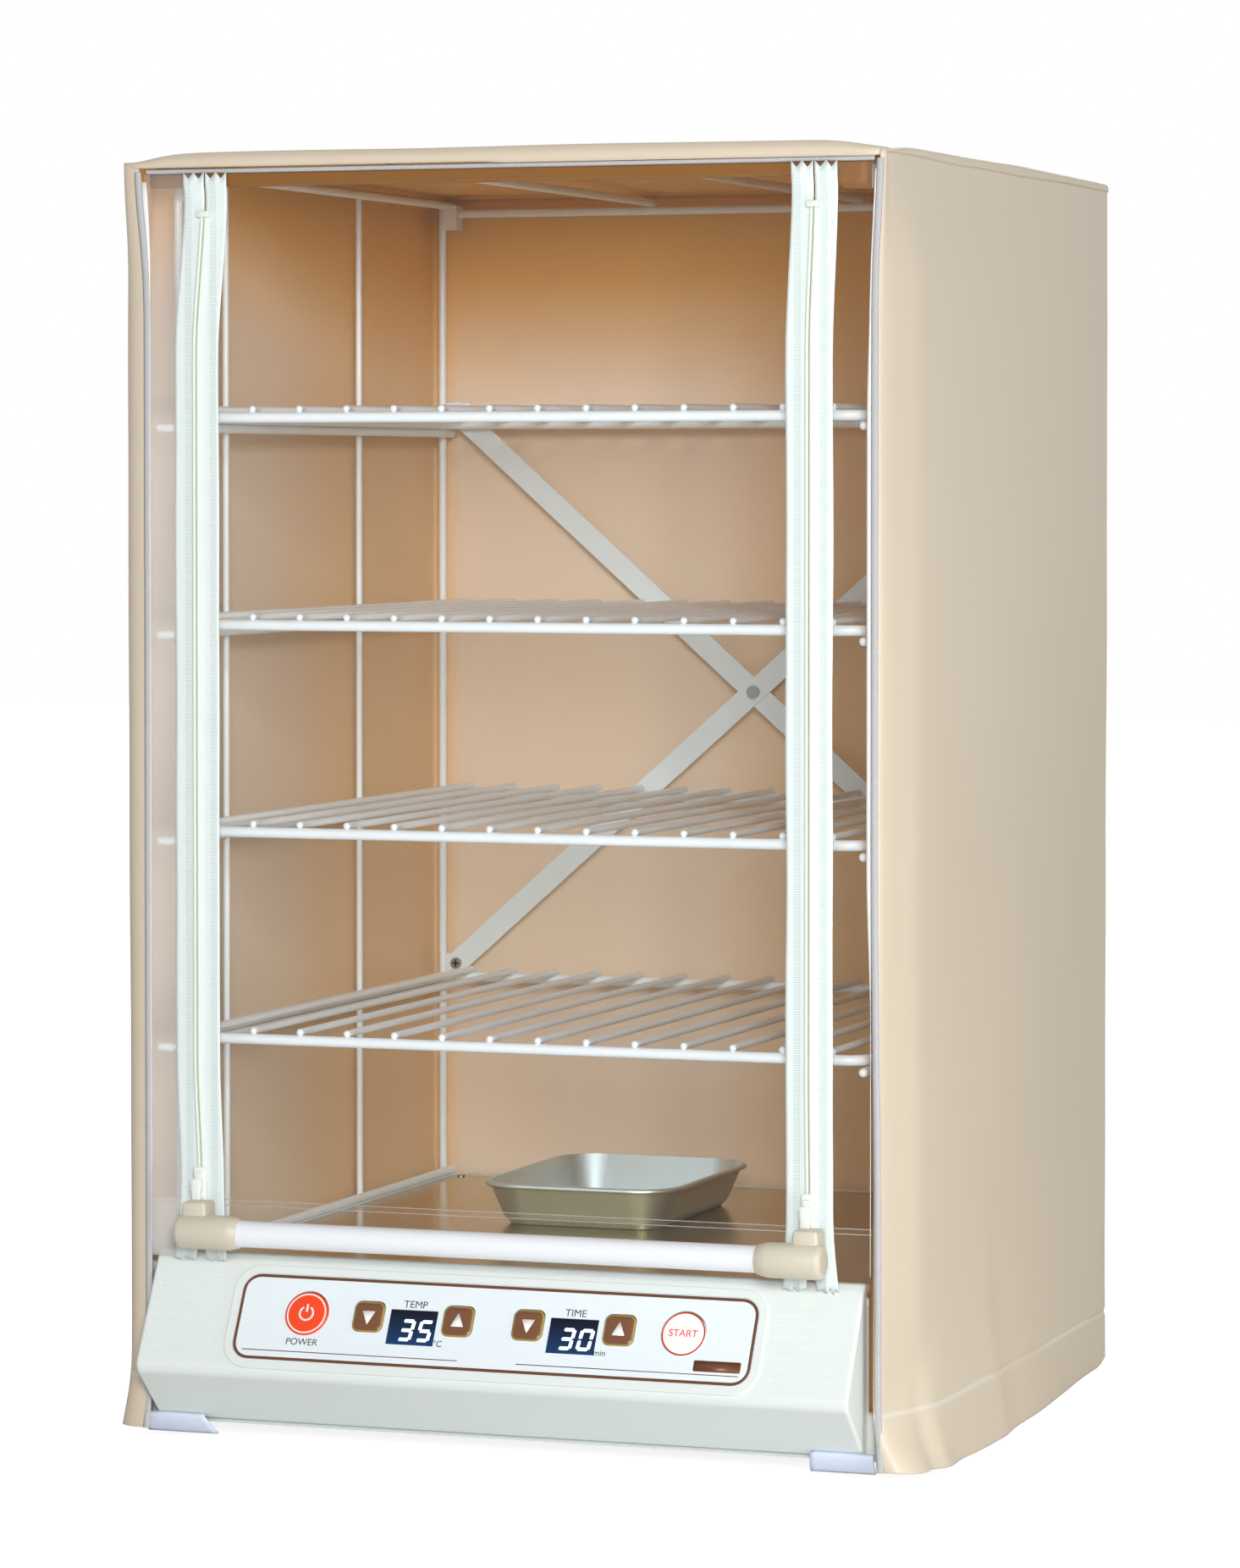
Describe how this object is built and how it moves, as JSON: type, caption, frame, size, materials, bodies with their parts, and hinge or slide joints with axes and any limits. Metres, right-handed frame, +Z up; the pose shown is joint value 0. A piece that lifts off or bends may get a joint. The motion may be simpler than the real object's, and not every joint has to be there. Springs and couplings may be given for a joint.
{
  "type": "dough proofer",
  "caption": "Heated dough proofing cabinet: zip-front vinyl cover over a white wire frame with wire shelves, a water tray and a sloped control base.",
  "frame": {"origin": "on the floor, under the middle of the whole box", "axes": "+Z up, -Y towards the zip front and the control panel, +X to the right seen from the front"},
  "size_m": [0.45, 0.4794, 0.7073],
  "materials": {
    "vinyl_cover": "satin vinyl sheet",
    "ribbed_binding": "ribbed woven binding",
    "clear_film": "clear flexible film",
    "zip_tape": "woven zip tape",
    "zip_metalwork": "pale enamel",
    "bar_white": "gloss white",
    "cap_beige": "satin moulded",
    "hold_tab": "soft white vinyl",
    "white_wire": "white powder coat",
    "white_plastic": "moulded white",
    "zinc_screw": "zinc plated",
    "stainless": "polished stainless",
    "housing": "off-white moulding",
    "overlay_print": "printed white film",
    "power_key": "orange print",
    "brown_key": "brown moulded key",
    "display_glass": "dark display window",
    "circuit_board": "green board",
    "switch_black": "black moulded",
    "transformer_iron": "laminated iron",
    "ribbon_grey": "grey ribbon",
    "heater_sheath": "steel sheath",
    "glass_wool": "glass fibre pad",
    "rubber_black": "moulded rubber"
  },
  "bodies": {
    "proofer_body": {"base_pan": "housing", "base_rim": "housing", "base_screws": "zinc_screw", "rubber_feet": "rubber_black", "cord_bushing": "rubber_black", "deck_plate": "stainless", "deck_screws": "stainless", "heater_element": "heater_sheath", "heater_straps": "heater_sheath", "thermal_cutout": "heater_sheath", "temperature_sensor": "heater_sheath", "insulation_pad": "glass_wool", "fascia": "housing", "fascia_screws": "zinc_screw", "panel_overlay": "overlay_print", "temp_display": "display_glass", "time_display": "display_glass", "control_board": "circuit_board", "tact_switches": "switch_black", "board_screws": "zinc_screw", "power_board": "circuit_board", "transformer": "transformer_iron", "relay": "switch_black", "ribbon_cable": "ribbon_grey", "left_side_frame": "white_wire", "right_side_frame": "white_wire", "top_grid": "white_wire", "top_corner_clips": "white_plastic", "brace_bar_rising": "white_wire", "brace_bar_falling": "white_wire", "brace_brackets": "white_wire", "brace_screws": "zinc_screw", "brace_rivet": "zinc_screw", "cover_top": "vinyl_cover", "cover_left": "vinyl_cover", "cover_right": "vinyl_cover", "cover_back": "vinyl_cover", "front_binding": "ribbed_binding", "border_films": "clear_film", "sill_film": "clear_film", "outer_zip_tapes": "zip_tape", "hold_down_tabs": "hold_tab"},
    "window_flap": {"window_film": "clear_film", "inner_zip_tapes": "zip_tape", "zip_top_stops": "zip_metalwork"},
    "lift_bar": {"zip_sliders": "zip_metalwork", "zip_pulls": "zip_metalwork", "handle_end_caps": "cap_beige", "handle_bar": "bar_white"},
    "water_tray": {"water_tray": "stainless"},
    "power_button": {"power_button": "power_key"},
    "temp_down_button": {"temp_down_button": "brown_key"},
    "temp_up_button": {"temp_up_button": "brown_key"},
    "time_down_button": {"time_down_button": "brown_key"},
    "time_up_button": {"time_up_button": "brown_key"},
    "start_button": {"start_button": "overlay_print"},
    "shelf_1": {"shelf_1": "white_wire"},
    "shelf_2": {"shelf_2": "white_wire"},
    "shelf_3": {"shelf_3": "white_wire"},
    "shelf_4": {"shelf_4": "white_wire"}
  },
  "joints": [
    {"name": "window_swing", "type": "hinge", "parent": "proofer_body", "child": "window_flap", "pos_m": [0, -0.21347, 0.6957], "axis": [-1, 0, 0], "range_deg": [0, 110]},
    {"name": "handle_lift", "type": "slide", "parent": "window_flap", "child": "lift_bar", "axis": [0, 0, 1], "range_m": [0, 0.518]},
    {"name": "tray_lift", "type": "slide", "parent": "proofer_body", "child": "water_tray", "axis": [0, 0, 1], "range_m": [0, 0.09]},
    {"name": "power_press", "type": "slide", "parent": "proofer_body", "child": "power_button", "axis": [0, 0.8795, -0.4758], "range_m": [0, 0.0006], "stiffness_N_per_m": 1500},
    {"name": "temp_down_press", "type": "slide", "parent": "proofer_body", "child": "temp_down_button", "axis": [0, 0.8795, -0.4758], "range_m": [0, 0.0006], "stiffness_N_per_m": 1500},
    {"name": "temp_up_press", "type": "slide", "parent": "proofer_body", "child": "temp_up_button", "axis": [0, 0.8795, -0.4758], "range_m": [0, 0.0006], "stiffness_N_per_m": 1500},
    {"name": "time_down_press", "type": "slide", "parent": "proofer_body", "child": "time_down_button", "axis": [0, 0.8795, -0.4758], "range_m": [0, 0.0006], "stiffness_N_per_m": 1500},
    {"name": "time_up_press", "type": "slide", "parent": "proofer_body", "child": "time_up_button", "axis": [0, 0.8795, -0.4758], "range_m": [0, 0.0006], "stiffness_N_per_m": 1500},
    {"name": "start_press", "type": "slide", "parent": "proofer_body", "child": "start_button", "axis": [0, 0.8795, -0.4758], "range_m": [0, 0.0006], "stiffness_N_per_m": 1500},
    {"name": "shelf_1_slide", "type": "slide", "parent": "proofer_body", "child": "shelf_1", "axis": [0, -1, 0], "range_m": [0, 0.014]},
    {"name": "shelf_2_slide", "type": "slide", "parent": "proofer_body", "child": "shelf_2", "axis": [0, -1, 0], "range_m": [0, 0.014]},
    {"name": "shelf_3_slide", "type": "slide", "parent": "proofer_body", "child": "shelf_3", "axis": [0, -1, 0], "range_m": [0, 0.014]},
    {"name": "shelf_4_slide", "type": "slide", "parent": "proofer_body", "child": "shelf_4", "axis": [0, -1, 0], "range_m": [0, 0.014]}
  ]
}
